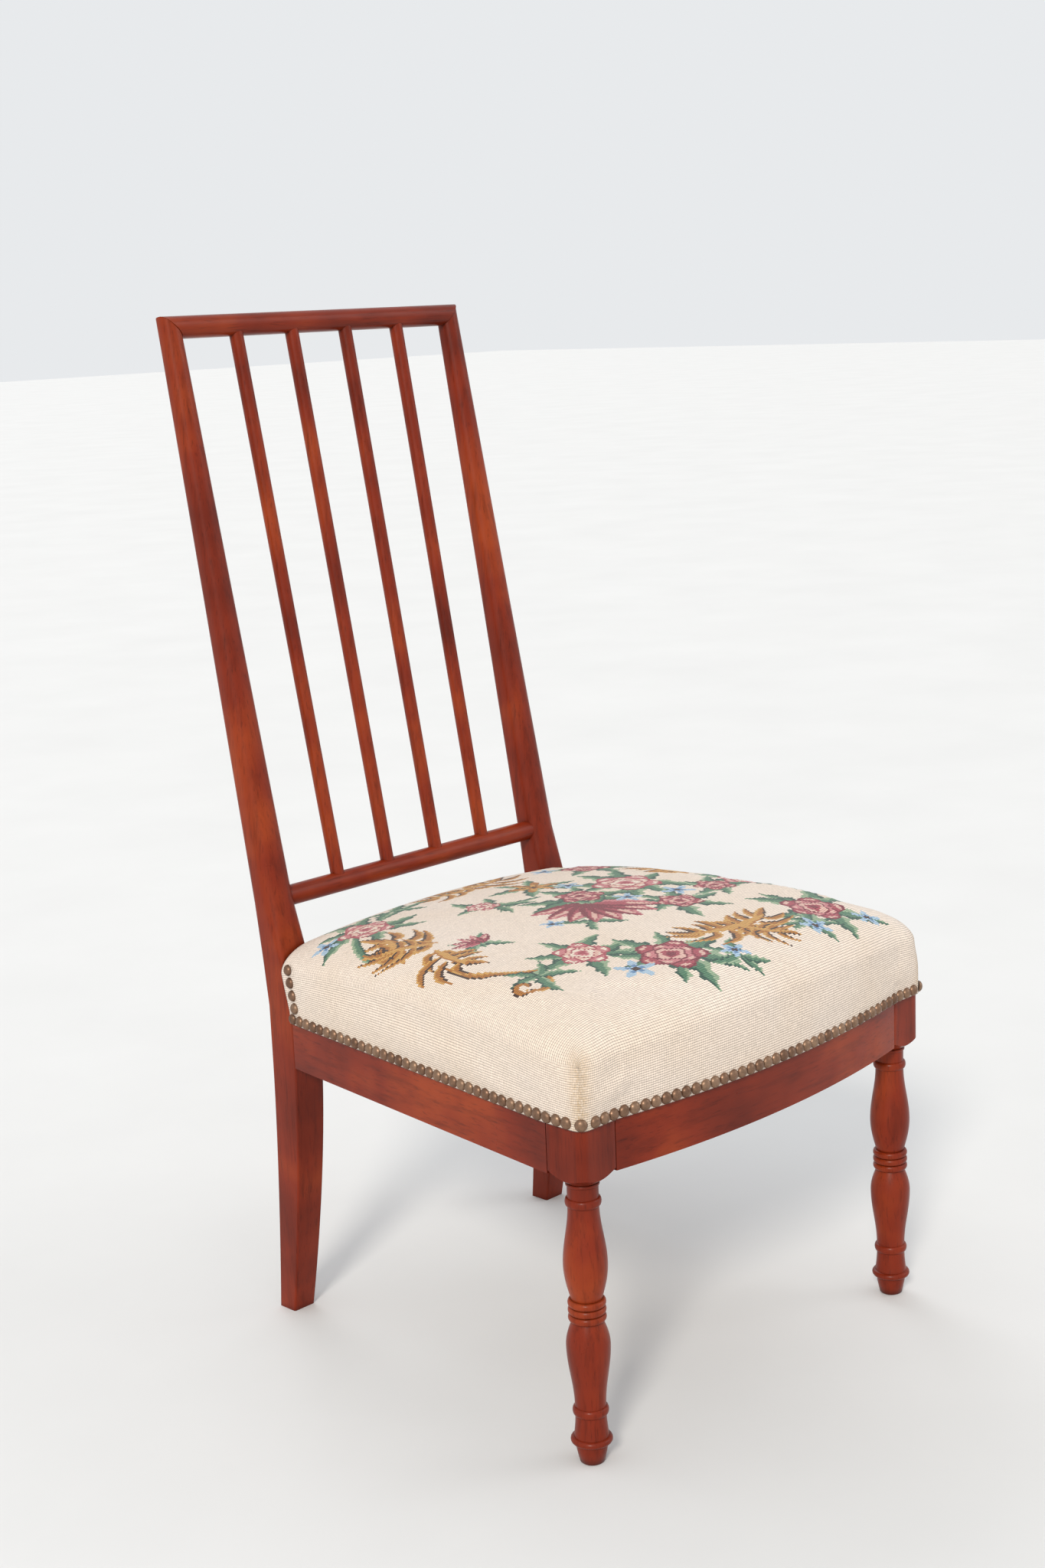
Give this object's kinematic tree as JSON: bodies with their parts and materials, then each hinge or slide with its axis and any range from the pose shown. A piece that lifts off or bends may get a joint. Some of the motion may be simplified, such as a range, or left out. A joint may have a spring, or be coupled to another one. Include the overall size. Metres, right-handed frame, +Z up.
{
  "type": "nursing chair",
  "caption": "Low nursing chair: turned front legs, sabre rear legs, raked spindle back and a stuffed-over seat in floral needlepoint edged with dome nails.",
  "frame": {"origin": "floor level, middle of the overall width and depth", "axes": "+Z up, -Y to the front of the chair, +X to the sitter's left"},
  "size_m": [0.4634, 0.5556, 0.9199],
  "materials": {
    "show_wood": "satin polish over reddish brown stain",
    "frame_wood": "raw, aged",
    "nail_brass": "dull antique bronze",
    "webbing": "woven jute",
    "hessian": "loosely woven jute",
    "stuffing": "curled hair",
    "needlepoint": "matt wool stitches"
  },
  "bodies": {
    "root": {"front_leg_left": "show_wood", "front_leg_right": "show_wood", "rear_post_left": "show_wood", "rear_post_right": "show_wood", "front_seat_rail": "show_wood", "side_seat_rail_left": "show_wood", "side_seat_rail_right": "show_wood", "back_seat_rail": "show_wood", "crest_rail": "show_wood", "lower_back_rail": "show_wood", "spindle_1": "show_wood", "spindle_2": "show_wood", "spindle_3": "show_wood", "spindle_4": "show_wood", "corner_block_front_left": "frame_wood", "corner_block_front_right": "frame_wood", "corner_block_rear_left": "frame_wood", "corner_block_rear_right": "frame_wood", "mitre_dowels": "frame_wood", "nails_front": "nail_brass", "nails_left": "nail_brass", "nails_right": "nail_brass", "nails_back": "nail_brass", "nails_post_left": "nail_brass", "nails_post_right": "nail_brass", "webbing_lengthwise": "webbing", "webbing_crosswise": "webbing", "hessian_base": "hessian", "hair_stuffing": "stuffing", "needlepoint_cover": "needlepoint"}
  },
  "joints": []
}
